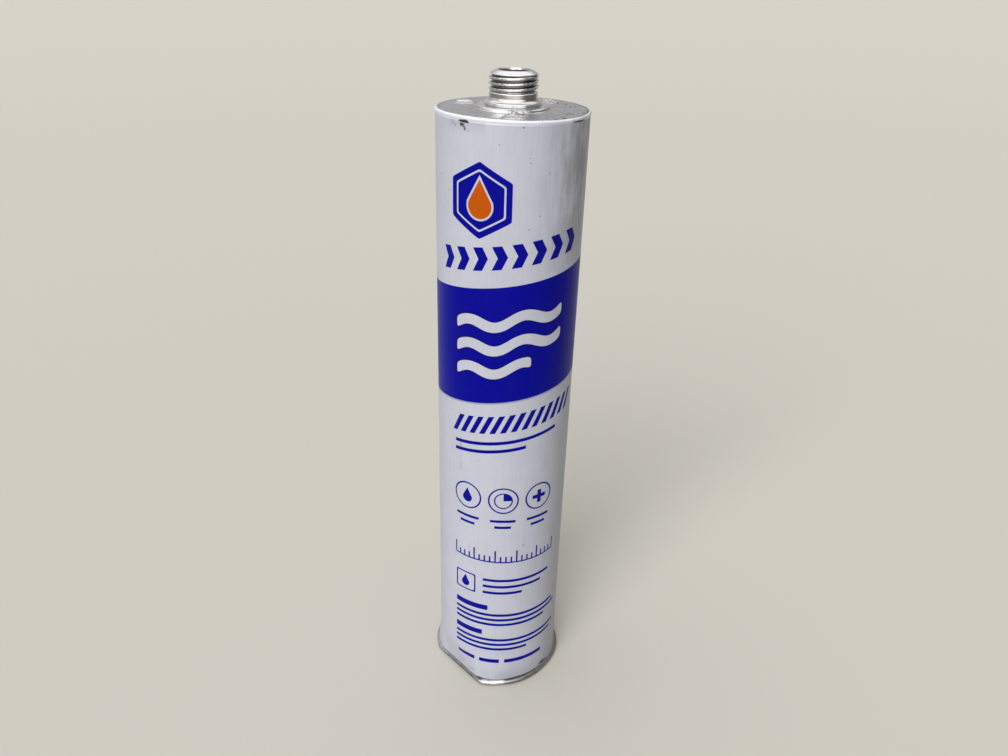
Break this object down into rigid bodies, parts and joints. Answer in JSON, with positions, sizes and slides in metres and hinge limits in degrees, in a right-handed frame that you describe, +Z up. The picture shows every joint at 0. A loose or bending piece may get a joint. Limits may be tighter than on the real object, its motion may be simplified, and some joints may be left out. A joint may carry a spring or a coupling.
{
  "type": "caulk tube",
  "caption": "Sealed aluminium sealant cartridge for a caulking gun: threaded neck with a closed membrane, painted wall with a slanted band, and a rolled base rim with a knock in it.",
  "frame": {"origin": "centre of the base, on the surface the cartridge stands on", "axes": "+Z up along the tube towards the neck, -Y out of the printed front, +X to the right as the front is read"},
  "size_m": [0.05, 0.05, 0.2285],
  "materials": {
    "cartridge": "satin white lacquer with blue print, bare aluminium at the shoulder, neck and base rim"
  },
  "bodies": {
    "root": {"cartridge": "cartridge"}
  },
  "joints": []
}
